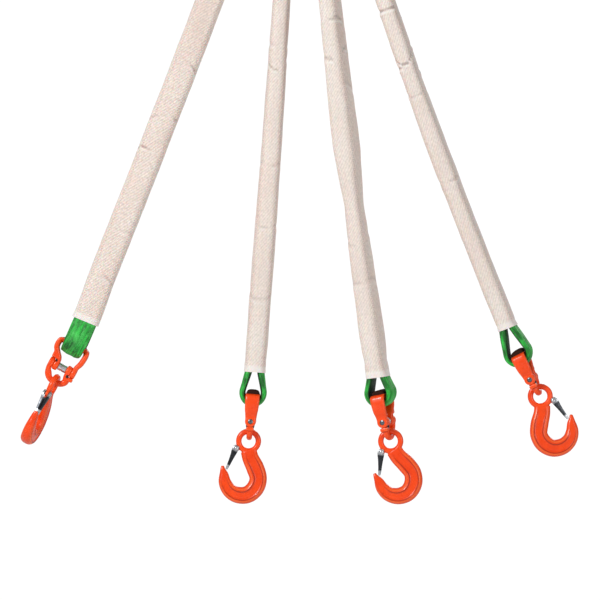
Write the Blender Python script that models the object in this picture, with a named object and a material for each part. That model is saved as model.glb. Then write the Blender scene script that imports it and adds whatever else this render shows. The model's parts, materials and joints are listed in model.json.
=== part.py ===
"""A four leg roundsling sling: a master link, two sub-links and four sleeved roundslings with safety hooks.

Lengths are in millimetres here and are written to the meshes in metres. The sling hangs from its
master link, whose inner top is the origin. The four legs fan out in the XZ plane, two of them in
front of it and two behind. A coupling's own frame has X along its load pin, Z up the leg and its
origin on the pin. A hook's frame has its tip towards -X and its origin on the bar that carries it.
"""

import math

import bmesh
import bpy
from mathutils import Matrix, Vector

MM = 0.001

# Master link and sub-links, each a round bar bent to an oblong
MASTER_BAR = 18.0
MASTER_INSIDE = (75.0, 135.0)
SUB_BAR = 13.0
SUB_INSIDE = (40.0, 62.0)
SUB_APART = 16.5
SUB_LEAN = 14.0
SUB_PLAY = 1.6
SEAT_Y = 12.0
SEAT_PLAY = 1.2

# Couplings: a wide half for the roundsling and a narrow half for the hook, joined by a load pin
PIN_RADIUS = 4.5
PIN_HALF_LENGTH = 28.8
PIN_HOLE_RADIUS = 5.0
LUG_RADIUS = 10.0
LUG_ROOM = 10.9
INNER_LUG = (9.0, 18.2)
OUTER_LUG = (19.0, 28.2)
LUG_SKIN = 0.2
BUSH_HALF_LENGTH = 8.4
BUSH_RADIUS = 7.2
BOW_RADIUS = 5.3
BOW_SIDE_SWELL = 1.3
BOW_HALF_WIDTH = 18.5
BOW_TOP = 18.0
BOW_REACH = 31.0
BOW_NECK = 11.2
BOW_NECK_HALF = (9.2, 8.0)
WEB_REACH = 55.0
WEB_HALF_WIDTH = 33.0
WEB_ARM = 9.6
WEB_LUG_ARM = 8.8
SADDLE_DROP = 3.0
SADDLE_THICK = 9.0
SADDLE_HALF_DEPTH = 13.8
CROWN_RADIUS = 10.3
CROWN_HALF_LENGTH = 22.0
CROWN_HEIGHT = 51.0
COUPLING_SPLAY = 22.0
CUTTER_REACH = 40.0

# Roundsling and its sleeve
BIGHT_RADIUS = 21.2
STRAP_HALF_WIDTH = 22.6
BIGHT_HALF_WIDTH = 20.5
STRAP_HALF_THICK = 7.0
BIGHT_HALF_THICK = 5.8
STRAND_OFFSET = 7.3
STRANDS_MEET = 60.0
SLEEVE_HALF_WIDTH = 27.0
SLEEVE_WALL = 2.3
SLEEVE_PLAY = 2.0
SLEEVE_TOP_GAP = 45.0
TWIST_SHARE = 0.28
TWIST_RINGS = 8
END_REACH = 130.0
BIGHT_STEPS = 8
SHARE_STEP = 0.01
SLEEVE_CORNER = (3.7, 5.5)

# Hook, in its own frame, measured from the centre of the eye
EYE_RADIUS = 18.75
EYE_HALF = (5.25, 5.5)
EYE_DROP = 7.35
BOSS_AT = (-20.5, -17.0)
BOSS_RADIUS = 5.5
BOSS_HALF = 2.6
BOSS_BORE = 2.85
LATCH_LEAN = -16.5
LATCH_LENGTH = 44.5
LATCH_WALL = 1.6
LATCH_PIN_RADIUS = 2.5
LATCH_HOLE_RADIUS = 3.0
LATCH_PIN_SHAPE = ((8.0, LATCH_PIN_RADIUS), (8.0, 3.7), (9.2, 3.2))  # half length, radius
SPRING_COIL = (4.25, 5.75)
SPRING_RADII = (2.95, 4.3)
SPRING_LEG = ((-4.2, 0.0), (-3.2, -13.0))
SPRING_WIRE = 1.2
HOOK_BODY = (  # centre x, centre z, width in the hook's plane, thickness
    (3.0, -18.0, 30.0, 12.5),
    (9.0, -31.0, 31.5, 17.5),
    (21.0, -48.5, 34.0, 22.0),
    (30.0, -68.0, 33.0, 25.0),
    (28.0, -84.5, 34.0, 27.0),
    (14.5, -101.0, 33.0, 28.0),
    (-6.0, -104.5, 31.0, 27.5),
    (-22.5, -97.0, 27.5, 24.0),
    (-31.5, -85.0, 24.0, 20.0),
    (-36.7, -68.5, 16.0, 14.0),
    (-39.9, -60.5, 9.0, 11.0),
    (-41.4, -54.5, 5.0, 7.0),
)

# Each leg: -1 in front or 1 behind, lean of its upper coupling, lower load pin (x, z), lean and turn of
# the lower eye's bar, which way round the lower coupling sits on it, lean and turn of the hook, sleeve end
# above the eye's centre, sideways bulge
LEGS = {
    "leg_1": dict(side=-1, upper_lean=-22.0, foot=(-455.0, -1276.0), lean=-28.0, turn=0.0, about=0.0,
                  hook_lean=-25.5, hook_turn=82.0, bare=43.0, bulge=-4.0),
    "leg_2": dict(side=1, upper_lean=8.0, foot=(-100.0, -1379.0), lean=-5.0, turn=90.0, about=180.0,
                  hook_lean=-9.5, hook_turn=0.0, bare=39.0, bulge=-2.0),
    "leg_3": dict(side=-1, upper_lean=-8.0, foot=(158.0, -1377.0), lean=12.0, turn=71.0, about=180.0,
                  hook_lean=10.5, hook_turn=-4.0, bare=30.0, bulge=9.0),
    "leg_4": dict(side=1, upper_lean=22.0, foot=(436.0, -1297.0), lean=27.5, turn=79.0, about=180.0,
                  hook_lean=22.0, hook_turn=180.0, bare=50.0, bulge=14.0),
}
SUB_LINKS = {"sub_link_left": (-1, ("leg_1", "leg_2")), "sub_link_right": (1, ("leg_3", "leg_4"))}

ORANGE = ("orange_powder_coat", (0.86, 0.13, 0.03), 0.32, 0.0)
GREEN = ("green_polyester", (0.0, 0.26, 0.05), 0.8, 0.0)
BEIGE = ("beige_sleeve_fabric", (0.78, 0.65, 0.58), 0.9, 0.0)
ZINC = ("zinc_plate", (0.62, 0.64, 0.66), 0.35, 1.0)
STEEL = ("load_pin_steel", (0.20, 0.20, 0.21), 0.4, 1.0)


def clear_scene():
    for obj in list(bpy.data.objects):
        bpy.data.objects.remove(obj, do_unlink=True)


def material(name, colour, roughness, metallic):
    found = bpy.data.materials.get(name)
    if found:
        return found
    made = bpy.data.materials.new(name)
    made.use_nodes = True
    shader = made.node_tree.nodes["Principled BSDF"]
    shader.inputs["Base Color"].default_value = (*colour, 1.0)
    shader.inputs["Roughness"].default_value = roughness
    shader.inputs["Metallic"].default_value = metallic
    return made


# ---------------------------------------------------------------- meshes


def mesh_of(name, rings, closed=False, turned_from=None):
    """A mesh through rings of points: a closed loop of them, or a run with an end face at each end.

    With turned_from it is made of triangles, whose diagonals cross the other way from that ring on, so
    that a thin wall has the same folds on both faces.
    """
    made = bmesh.new()
    rows = [[made.verts.new(Vector(p) * MM) for p in ring] for ring in rings]
    count = len(rows[0])
    for i in range(len(rows) if closed else len(rows) - 1):
        here, there = rows[i], rows[(i + 1) % len(rows)]
        for j in range(count):
            k = (j + 1) % count
            if turned_from is None:
                made.faces.new((here[j], here[k], there[k], there[j]))
            elif i < turned_from:
                made.faces.new((here[j], here[k], there[k]))
                made.faces.new((here[j], there[k], there[j]))
            else:
                made.faces.new((here[j], here[k], there[j]))
                made.faces.new((here[k], there[k], there[j]))
    if not closed:
        made.faces.new(rows[0][::-1])
        made.faces.new(rows[-1])
    bmesh.ops.recalc_face_normals(made, faces=made.faces)
    mesh = bpy.data.meshes.new(name)
    made.to_mesh(mesh)
    made.free()
    return mesh


def oval(half_u, half_v, count):
    """Points round an ellipse, starting half a step past +U."""
    turns = [2 * math.pi * (i + 0.5) / count for i in range(count)]
    return [(half_u * math.cos(a), half_v * math.sin(a)) for a in turns]


def rod(name, start, end, radius, axis="X", centre=(0.0, 0.0), count=8, bore=0.0):
    """A cylinder along X or Y from start to end, with a bore if it has a radius."""
    def ring(at, r):
        if axis == "X":
            return [(at, centre[0] + u, centre[1] + v) for u, v in oval(r, r, count)]
        return [(centre[0] + u, at, centre[1] + v) for u, v in oval(r, r, count)]

    if bore:
        rings = [ring(start, radius), ring(end, radius), ring(end, bore), ring(start, bore)]
        return mesh_of(name, rings, closed=True)
    return mesh_of(name, [ring(start, radius), ring(end, radius)])


def fused(name, base, joins=(), cuts=()):
    """The base mesh with some meshes joined to it and then others cut away."""
    helpers = []

    def helper(mesh):
        obj = bpy.data.objects.new(name + "_helper", mesh)
        obj.hide_render = True
        obj.display_type = "WIRE"
        bpy.context.scene.collection.objects.link(obj)
        helpers.append(obj)
        return obj

    body = helper(base)
    for operation, meshes in (("UNION", joins), ("DIFFERENCE", cuts)):
        for mesh in meshes:
            modifier = body.modifiers.new(operation.lower(), "BOOLEAN")
            modifier.operation = operation
            modifier.object = helper(mesh)
    graph = bpy.context.evaluated_depsgraph_get()
    graph.update()
    result = bpy.data.meshes.new_from_object(body.evaluated_get(graph))
    result.name = name
    for obj in helpers:
        bpy.data.objects.remove(obj, do_unlink=True)
    return result


def plane_run(name, line, sections):
    """A bar along (x, z) points. Each section holds (u, v) points: u along Y, v to the line's left."""
    rings = []
    for i, (x, z) in enumerate(line):
        before = Vector(line[i]) - Vector(line[i - 1]) if i else None
        after = Vector(line[i + 1]) - Vector(line[i]) if i + 1 < len(line) else None
        before, after = (before or after).normalized(), (after or before).normalized()
        along = (before + after).normalized()
        stretch = 1.0 / max(along.dot(after), 0.5)
        left = Vector((-along.y, along.x)) * stretch
        rings.append([(x + left.x * v, u, z + left.y * v) for u, v in sections[i]])
    return mesh_of(name, rings)


def oblong_link(name, inside, bar, plane, arc_steps=6, count=8):
    """A round bar bent to an oblong with this inside width and length, its inner top at the origin."""
    half = (inside[0] + bar) / 2
    straight = inside[1] - inside[0]
    rings = []
    for side, centre in ((0.0, -inside[0] / 2), (math.pi, -inside[0] / 2 - straight)):
        for i in range(arc_steps + 1):
            turn = side + math.pi * i / arc_steps
            out, up = math.cos(turn), math.sin(turn)
            ring = []
            for u, v in oval(bar / 2, bar / 2, count):
                across, height = out * (half + u), centre + up * (half + u)
                ring.append((across, v, height) if plane == "XZ" else (v, across, height))
            rings.append(ring)
    return mesh_of(name, rings, closed=True)


def shoulder(near, far, level, reach, half_depth):
    """The solid that carries an arm out past the other half's lug, from a level to a reach at each end."""
    rings = []
    for x, end in zip((near, far), reach):
        level_side = [(x, -half_depth, level), (x, half_depth, level)]
        rings.append(level_side + [(x, half_depth, end), (x, -half_depth, end)])
    return mesh_of("shoulder", rings)


def chain_half_mesh():
    """The narrow half: two lugs on the pin and a bow below them."""
    inner, outer = sum(INNER_LUG) / 2, sum(OUTER_LUG) / 2
    lug_half = (OUTER_LUG[1] - OUTER_LUG[0]) / 2 - LUG_SKIN
    arc = [math.radians(a) for a in range(0, 181, 30)]
    depth = BOW_REACH - BOW_TOP
    line = [(-outer, 0.0), (-outer, -BOW_NECK)]
    line += [(-BOW_HALF_WIDTH * math.cos(a), -BOW_TOP - depth * math.sin(a)) for a in arc]
    line += [(inner, -BOW_NECK), (inner, 0.0)]
    ends = [oval(half, lug_half, 8) for half in BOW_NECK_HALF]
    bow = [oval(BOW_RADIUS, BOW_RADIUS + BOW_SIDE_SWELL * abs(math.cos(a)), 8) for a in arc]
    joins = [rod("lug", -OUTER_LUG[1], -OUTER_LUG[0], LUG_RADIUS), rod("lug", *INNER_LUG, LUG_RADIUS)]
    joins.append(shoulder(inner, outer + lug_half, -LUG_ROOM, (-BOW_TOP, -BOW_TOP), BOW_NECK_HALF[1]))
    hole = rod("hole", -CUTTER_REACH, CUTTER_REACH, PIN_HOLE_RADIUS)
    return fused("chain_half", plane_run("bow", line, ends + bow + ends[::-1]), joins, [hole])


def web_section(half_depth, thick, round_share):
    """Half round under its flat outer face where round_share is 1, and a flat bar where it is 0."""
    def mix(flat, rounded):
        return flat + (rounded - flat) * round_share

    shares = (  # of the half depth and of the thickness, for a flat bar and for a half round one
        ((0.84, 0.84), (0.0, 0.0)),
        ((1.0, 1.0), (0.22, 0.10)),
        ((0.97, 0.745), (0.82, 0.67)),
        ((0.75, 0.36), (1.0, 1.0)),
    )
    right = [(half_depth * mix(*u), -thick * mix(*v)) for u, v in shares]
    return right + [(-u, v) for u, v in reversed(right)]


def web_half_mesh():
    """The wide half: two lugs on the pin, two arms and a saddle above, which the roundsling lies on."""
    wide, top = WEB_HALF_WIDTH, WEB_REACH - SADDLE_DROP
    skin = OUTER_LUG[1] - LUG_SKIN
    inner_skin = INNER_LUG[1] - LUG_SKIN
    stations = (  # x and z of the outer face, half depth, thickness, roundness
        (skin, 0.0, 9.2, WEB_LUG_ARM, 0.0),
        (skin, 11.2, 11.2, WEB_LUG_ARM, 0.0),
        (wide, 25.0, 12.9, WEB_ARM, 0.0),
        (wide, top - 9.0, 13.5, WEB_ARM, 0.0),
        (wide - 2.0, top - 3.0, SADDLE_HALF_DEPTH, WEB_ARM, 0.3),
        (wide - 7.5, top, SADDLE_HALF_DEPTH, SADDLE_THICK, 1.0),
        (7.5 - wide, top, SADDLE_HALF_DEPTH, SADDLE_THICK, 1.0),
        (2.0 - wide, top - 3.0, SADDLE_HALF_DEPTH, WEB_ARM, 0.3),
        (-wide, top - 9.0, 13.5, WEB_ARM, 0.0),
        (-wide, 29.0, 12.9, WEB_ARM, 0.0),
        (-inner_skin, 11.2, 11.2, WEB_LUG_ARM, 0.0),
        (-inner_skin, 0.0, 9.2, WEB_LUG_ARM, 0.0),
    )
    line = [(x, z) for x, z, *_ in stations][::-1]
    sections = [web_section(*shape) for _, _, *shape in stations][::-1]
    joins = [rod("lug", -INNER_LUG[1], -INNER_LUG[0], LUG_RADIUS), rod("lug", *OUTER_LUG, LUG_RADIUS)]
    crown_at = (0.0, CROWN_HEIGHT)
    joins.append(rod("crown", -CROWN_HALF_LENGTH, CROWN_HALF_LENGTH, CROWN_RADIUS, centre=crown_at))
    joins.append(shoulder(-sum(INNER_LUG) / 2, -skin, LUG_ROOM, (20.0, 26.0), 10.8))
    hole = rod("hole", -CUTTER_REACH, CUTTER_REACH, PIN_HOLE_RADIUS)
    return fused("web_half", plane_run("bail", line, sections), joins, [hole])


def hook_mesh():
    """An eye, a body that sweeps round to the tip, and a boss for the latch."""
    rings = []
    steps = 14
    for i in range(steps):
        turn = 2 * math.pi * i / steps
        ring = []
        for u, v in oval(*EYE_HALF, 8):
            reach = EYE_RADIUS + u
            ring.append((reach * math.cos(turn), v, reach * math.sin(turn) - EYE_DROP))
        rings.append(ring)
    eye = mesh_of("eye", rings, closed=True)
    line = [(x, z - EYE_DROP) for x, z, _, _ in HOOK_BODY]
    sections = [oval(thick / 2, width / 2, 8) for _, _, width, thick in HOOK_BODY]
    body = plane_run("body", line, sections)
    centre = (BOSS_AT[0], BOSS_AT[1] - EYE_DROP)
    boss = rod("boss", -BOSS_HALF, BOSS_HALF, BOSS_RADIUS, "Y", centre)
    bore = rod("bore", -CUTTER_REACH, CUTTER_REACH, BOSS_BORE, "Y", centre)
    return fused("hook", eye, [body, boss], [bore])


def latch_mesh():
    """A folded channel that hangs from its pin, open towards the inside of the hook."""
    stations = (  # distance below the pin, half width, back and front of the channel
        (-5.4, 7.7, 7.4, -3.8),
        (3.0, 7.7, 7.4, -5.0),
        (14.0, 6.9, 5.4, -4.2),
        (LATCH_LENGTH - 8.0, 5.2, 2.8, -3.0),
        (LATCH_LENGTH, 4.8, 1.8, -2.2),
    )
    rings = []
    for drop, half, back, front in stations:
        rib = half - LATCH_WALL
        section = [(half, front), (half, back), (-half, back), (-half, front), (-rib, front),
                   (-rib, back - LATCH_WALL), (rib, back - LATCH_WALL), (rib, front)]
        rings.append([(-v, u, -drop) for u, v in section])
    bore = rod("bore", -CUTTER_REACH, CUTTER_REACH, LATCH_HOLE_RADIUS, "Y")
    return fused("latch", mesh_of("channel", rings), (), [bore])


def latch_pin_mesh():
    """A rivet with a head at each end."""
    profile = [(-y, r) for y, r in reversed(LATCH_PIN_SHAPE)] + list(LATCH_PIN_SHAPE)
    rings = [[(u, y, v) for u, v in oval(r, r, 8)] for y, r in profile]
    return mesh_of("latch_pin", rings)


def latch_spring_mesh():
    """The coil beside the boss and the leg that lies in the latch."""
    start, end = SPRING_COIL
    coil = rod("coil", start, end, SPRING_RADII[1], "Y", bore=SPRING_RADII[0])
    near, far = start + 0.05, start + 0.75
    leg = []
    for x, z in SPRING_LEG:
        back = x + SPRING_WIRE
        leg.append([(x, near, z), (back, near, z), (back, far, z), (x, far, z)])
    return fused("latch_spring", coil, [mesh_of("leg", leg)])


# ---------------------------------------------------------------- roundsling and sleeve


def smooth(share):
    share = min(max(share, 0.0), 1.0)
    return share * share * (3 - 2 * share)


class LegLine:
    """The middle line of a leg between the centres of its two eyes, and the way its flat side turns."""

    def __init__(self, top, foot, top_bar, foot_bar, bulge):
        chord = foot - top
        self.top = top
        self.chord = chord
        self.length = chord.length
        self.bulge = bulge
        self.bars = (top_bar, foot_bar)
        self.ends = [(chord - bar * chord.dot(bar)).normalized() for bar in self.bars]
        self.bends = [end - chord.normalized() for end in self.ends]

    def at(self, share):
        """A straight line that bulges to -X and leaves each eye square to the eye's bar."""
        point = self.top + self.chord * share
        for bend, away in zip(self.bends, (share * self.length, (share - 1) * self.length)):
            point += bend * (away * max(1 - abs(away) / END_REACH, 0.0) ** 2)
        return point - Vector((self.bulge * math.sin(math.pi * share), 0, 0))

    def frame(self, share):
        """(point, direction down the leg, across the flat side, through the thickness)"""
        ahead, behind = min(share + SHARE_STEP, 1.0), max(share - SHARE_STEP, 0.0)
        down = (self.at(ahead) - self.at(behind)).normalized()
        if share in (0.0, 1.0):
            down = self.ends[int(share)]
        turned = smooth(share / TWIST_SHARE)
        across = self.bars[0].slerp(self.bars[1], turned)
        across = (across - down * across.dot(down)).normalized()
        return self.at(share), down, across, across.cross(down)

    def bite_angle(self):
        """How far past its half circle a strand stays round the bar before it runs to the other strand."""
        reach = math.hypot(STRAND_OFFSET, STRANDS_MEET)
        return math.asin(BIGHT_RADIUS / reach) - math.atan2(STRAND_OFFSET, STRANDS_MEET)

    def girth_frame(self, share):
        """(point, across, through, strand offset), also between each bight and where the strands meet."""
        near = min(share, 1 - share) * self.length
        if near >= STRANDS_MEET:
            point, _, across, through = self.frame(share)
            return point, across, through, STRAND_OFFSET
        end = 0.0 if share < 0.5 else 1.0
        meet = STRANDS_MEET / self.length
        bite = self.bite_angle()
        start = BIGHT_RADIUS * math.sin(bite)
        mixed = (near - start) / (STRANDS_MEET - start)
        eye, down, across, through = self.frame(end)
        leave = eye + down * (start if share < 0.5 else -start)
        point, _, far_across, far_through = self.frame(abs(end - meet))
        offset = BIGHT_RADIUS * math.cos(bite)
        across = across.lerp(far_across, mixed)
        through = through.lerp(far_through, mixed)
        return leave.lerp(point, mixed), across, through, offset + (STRAND_OFFSET - offset) * mixed

    def shares(self):
        """Where along the leg both meshes have their rings: close together where the leg turns."""
        end = STRANDS_MEET / self.length
        count = TWIST_RINGS if self.bars[0].angle(self.bars[1]) > math.radians(20) else 1
        turning = [TWIST_SHARE * i / count for i in range(1, count + 1)]
        straight = [0.4, 0.5, 0.6, 0.7, 0.8, 0.88]
        return [end] + [s for s in turning if s > end + SHARE_STEP] + straight + [1 - end]


def strap_ring(point, across, out, half_width, half_thick=STRAP_HALF_THICK):
    upper = [(1.0, 0.5), (0.86, 1.0), (-0.86, 1.0), (-1.0, 0.5)]
    corners = upper + [(-u, -v) for u, v in upper]
    return [point + across * (u * half_width) + out * (v * half_thick) for u, v in corners]


def roundsling_mesh(name, line):
    """An endless flat loop: two strands side by side in the sleeve and a bight round the bar at each end."""
    rings = []
    bite = line.bite_angle()
    narrowing = STRAP_HALF_WIDTH - BIGHT_HALF_WIDTH
    for end in (0.0, 1.0):
        point, down, across, through = line.frame(end)
        side = 1 if end else -1
        for i in range(BIGHT_STEPS + 1):
            turn = -bite + (math.pi + 2 * bite) * i / BIGHT_STEPS
            out = through * (side * math.cos(turn)) + down * (side * math.sin(turn))
            half = STRAP_HALF_WIDTH - narrowing * max(math.sin(turn), 0.0)
            rings.append(strap_ring(point + out * BIGHT_RADIUS, across, out, half, BIGHT_HALF_THICK))
        strand = -1 if end else 1
        for share in reversed(line.shares()) if end else line.shares():
            point, _, across, through = line.frame(share)
            out = through * strand
            rings.append(strap_ring(point + out * STRAND_OFFSET, across, out, STRAP_HALF_WIDTH))
    return mesh_of(name, rings, closed=True)


def sleeve_mesh(name, line, bare):
    """A flat woven tube round both strands, open at both ends."""
    first, last = SLEEVE_TOP_GAP / line.length, 1 - bare / line.length
    shares = [first] + [s for s in line.shares() if first + 0.002 < s < last - 0.002] + [last]
    outside, inside = [], []
    for share in shares:
        point, across, through, offset = line.girth_frame(share)
        thick = offset + STRAP_HALF_THICK + SLEEVE_PLAY
        wide = SLEEVE_HALF_WIDTH - SLEEVE_WALL
        for rings, grow in ((outside, SLEEVE_WALL), (inside, 0.0)):
            round_off = grow * 0.3
            side_corner = (wide + grow, thick - SLEEVE_CORNER[1] + round_off)
            face_corner = (wide - SLEEVE_CORNER[0] + round_off, thick + grow)
            quarter = (side_corner, face_corner)
            corners = list(quarter) + [(-u, v) for u, v in reversed(quarter)]
            corners += [(-u, -v) for u, v in corners]
            rings.append([point + across * u + through * v for u, v in corners])
    return mesh_of(name, outside + inside[::-1], closed=True, turned_from=len(outside))


# ---------------------------------------------------------------- placing


def facing(lean, splay=0.0, turn=0.0):
    """Leant to +X at its foot, splayed to +Y at its foot and turned about its own length, in degrees."""
    about_y = Matrix.Rotation(math.radians(-lean), 4, "Y")
    about_x = Matrix.Rotation(math.radians(splay), 4, "X")
    return about_y @ about_x @ Matrix.Rotation(math.radians(turn), 4, "Z")


def axis_frame(name, parent, place, rotation):
    """An empty on a joint's axis, at a place in millimetres in the world, carried by its parent."""
    empty = bpy.data.objects.new(name + "_axis", None)
    bpy.context.scene.collection.objects.link(empty)
    world = Matrix.Translation(Vector(place) * MM) @ rotation
    empty.parent = parent
    above = parent["world"] if parent else Matrix.Identity(4)
    empty.matrix_basis = Matrix([list(row) for row in above]).inverted() @ world
    empty["world"] = [list(row) for row in world]
    return empty


def world_of(empty):
    return Matrix([list(row) for row in empty["world"]])


def place_on(empty, offset):
    """A point of the empty's frame, in millimetres in the world."""
    return (world_of(empty) @ (Vector(offset) * MM)) / MM


def piece(name, mesh, finish, carrier, offset=(0.0, 0.0, 0.0), attitude=(0.0, 0.0, 0.0)):
    """A node carried by an empty, at an offset in millimetres and turned about the empty's three axes."""
    obj = bpy.data.objects.new(name, mesh.copy())
    bpy.context.scene.collection.objects.link(obj)
    obj.parent = carrier
    obj.location = Vector(offset) * MM
    obj.rotation_euler = attitude
    obj.data.materials.clear()
    obj.data.materials.append(material(*finish))
    obj.data.shade_smooth()
    obj.data.set_sharp_from_angle(angle=math.radians(35))
    return obj


def in_frame_of(empty, mesh):
    """The mesh, made in the world, rewritten in the empty's own frame."""
    mesh.transform(world_of(empty).inverted())
    return mesh


def add_coupling(leg, where, meshes, chain_frame, web_frame, web_offset, pin_offset, attitude):
    prefix = f"{leg}_{where}_"
    piece(prefix + "chain_half", meshes["chain_half"], ORANGE, chain_frame, pin_offset, attitude)
    piece(prefix + "load_pin", meshes["load_pin"], STEEL, chain_frame, pin_offset, attitude)
    piece(prefix + "bush", meshes["bush"], ZINC, chain_frame, pin_offset, attitude)
    piece(prefix + "web_half", meshes["web_half"], ORANGE, web_frame, web_offset, attitude)


def add_leg(leg, shape, sub_link, seat, meshes):
    """A leg from its seat on the sub-link down to its latch."""
    upper = facing(shape["upper_lean"], shape["side"] * COUPLING_SPLAY)
    pin_below_seat = BOW_REACH - BOW_RADIUS - SUB_BAR / 2 - SEAT_PLAY
    upper_chain = axis_frame(leg + "_upper_chain", sub_link, seat, upper)
    upper_pin = (0.0, 0.0, -pin_below_seat)
    upper_web = axis_frame(leg + "_upper_web", upper_chain, place_on(upper_chain, upper_pin), upper)
    upside_down = (0.0, math.pi, 0.0)
    add_coupling(leg, "upper", meshes, upper_chain, upper_web, (0, 0, 0), upper_pin, upside_down)

    top = place_on(upper_web, (0.0, 0.0, -WEB_REACH))
    lower = facing(shape["lean"], 0.0, shape["turn"])
    foot_pin = Vector((shape["foot"][0], top.y, shape["foot"][1]))
    foot = foot_pin + lower.to_3x3() @ Vector((0.0, 0.0, WEB_REACH))
    top_bar, foot_bar = (frame.to_3x3() @ Vector((1, 0, 0)) for frame in (upper, lower))
    line = LegLine(top, foot, top_bar, foot_bar, shape["bulge"])
    textile = axis_frame(leg + "_textile", upper_web, top, upper)
    strap = in_frame_of(textile, roundsling_mesh(leg + "_roundsling", line))
    sleeve = in_frame_of(textile, sleeve_mesh(leg + "_sleeve", line, shape["bare"]))
    piece(leg + "_roundsling", strap, GREEN, textile)
    piece(leg + "_sleeve", sleeve, BEIGE, textile)

    lower_web = axis_frame(leg + "_lower_web", textile, foot, lower)
    lower_chain = axis_frame(leg + "_lower_chain", lower_web, foot_pin, lower)
    about = (0.0, 0.0, math.radians(shape["about"]))
    add_coupling(leg, "lower", meshes, lower_chain, lower_web, (0, 0, -WEB_REACH), (0, 0, 0), about)

    hook_at = place_on(lower_chain, (0.0, 0.0, -BOW_REACH))
    hook_facing = facing(shape["hook_lean"], 0.0, shape["hook_turn"])
    hook = axis_frame(leg + "_hook", lower_chain, hook_at, hook_facing)
    piece(leg + "_hook", meshes["hook"], ORANGE, hook)
    boss = (BOSS_AT[0], 0.0, BOSS_AT[1] - EYE_DROP)
    latch_tilt = Matrix.Rotation(math.radians(-LATCH_LEAN), 4, "Y")
    latch = axis_frame(leg + "_latch", hook, place_on(hook, boss), hook_facing @ latch_tilt)
    piece(leg + "_latch_pin", meshes["latch_pin"], ZINC, hook, boss)
    piece(leg + "_latch", meshes["latch"], ZINC, latch)
    piece(leg + "_latch_spring", meshes["latch_spring"], ZINC, latch)


def rise(radius, sideways):
    """How much higher a round arc is, this far sideways from its lowest point."""
    return radius - math.sqrt(radius**2 - sideways**2)


def build():
    clear_scene()
    meshes = {
        "chain_half": chain_half_mesh(),
        "web_half": web_half_mesh(),
        "hook": hook_mesh(),
        "latch": latch_mesh(),
        "latch_pin": latch_pin_mesh(),
        "latch_spring": latch_spring_mesh(),
        "load_pin": rod("load_pin", -PIN_HALF_LENGTH, PIN_HALF_LENGTH, PIN_RADIUS),
        "bush": rod("bush", -BUSH_HALF_LENGTH, BUSH_HALF_LENGTH, BUSH_RADIUS, bore=PIN_HOLE_RADIUS),
    }
    root = axis_frame("master_link", None, (0.0, 0.0, 0.0), Matrix.Identity(4))
    piece("master_link", oblong_link("master_link", MASTER_INSIDE, MASTER_BAR, "XZ"), ORANGE, root)
    master_half = (MASTER_INSIDE[0] + MASTER_BAR) / 2
    sub_half = (SUB_INSIDE[0] + SUB_BAR) / 2
    bar_z = -MASTER_INSIDE[1] - MASTER_BAR / 2 + rise(master_half, SUB_APART)
    for name, (side, legs) in SUB_LINKS.items():
        frame = axis_frame(name, root, (side * SUB_APART, 0.0, bar_z), facing(side * SUB_LEAN))
        inner_top = MASTER_BAR / 2 + SUB_PLAY
        mesh = oblong_link(name, SUB_INSIDE, SUB_BAR, "YZ")
        piece(name, mesh, ORANGE, frame, (0.0, 0.0, inner_top))
        seat_z = inner_top - SUB_INSIDE[1] - SUB_BAR / 2 + rise(sub_half, SEAT_Y)
        for leg in legs:
            seat = place_on(frame, (0.0, LEGS[leg]["side"] * SEAT_Y, seat_z))
            add_leg(leg, LEGS[leg], frame, seat, meshes)


build()
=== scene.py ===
"""The looks of a four leg roundsling sling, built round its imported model.

Everything stands in the model's frame: +Z up, +X across the fan of legs, +Y to the back, in metres. The
hardware is built once in millimetres, each kind in a frame of its own, and set on every joint that has it.
A coupling's frame has X along its load pin and Z towards its saddle, with the pin at the origin. A hook's
frame has its tip towards -X and the bar that carries it at the origin. A latch's frame has Z up the latch
and its rivet at the origin.
"""

import json
import math

import bmesh
import bpy
import numpy as np
from mathutils import Matrix, Vector, noise

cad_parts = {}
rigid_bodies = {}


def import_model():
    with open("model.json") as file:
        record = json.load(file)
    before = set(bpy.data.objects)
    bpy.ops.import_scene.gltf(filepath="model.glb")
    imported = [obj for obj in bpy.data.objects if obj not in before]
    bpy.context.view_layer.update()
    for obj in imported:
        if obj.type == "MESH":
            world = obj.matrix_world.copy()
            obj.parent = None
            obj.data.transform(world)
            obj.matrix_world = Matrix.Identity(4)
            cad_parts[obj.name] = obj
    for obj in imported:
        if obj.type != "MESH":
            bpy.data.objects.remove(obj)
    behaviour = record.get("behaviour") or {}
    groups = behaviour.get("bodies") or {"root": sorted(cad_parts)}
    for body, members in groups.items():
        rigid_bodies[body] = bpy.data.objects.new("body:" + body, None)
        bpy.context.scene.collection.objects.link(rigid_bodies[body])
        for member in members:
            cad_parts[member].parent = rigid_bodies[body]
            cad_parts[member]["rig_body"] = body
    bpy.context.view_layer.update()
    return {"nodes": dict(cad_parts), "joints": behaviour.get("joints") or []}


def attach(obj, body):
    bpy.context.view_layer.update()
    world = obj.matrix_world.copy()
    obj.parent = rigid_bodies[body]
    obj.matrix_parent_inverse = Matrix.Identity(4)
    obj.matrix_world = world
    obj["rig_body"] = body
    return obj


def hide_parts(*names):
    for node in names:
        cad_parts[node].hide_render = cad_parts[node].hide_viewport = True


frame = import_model()

MM = 0.001
SHARP_ANGLE = math.radians(38)
JOINTS = {joint["name"]: joint for joint in frame["joints"]}

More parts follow.
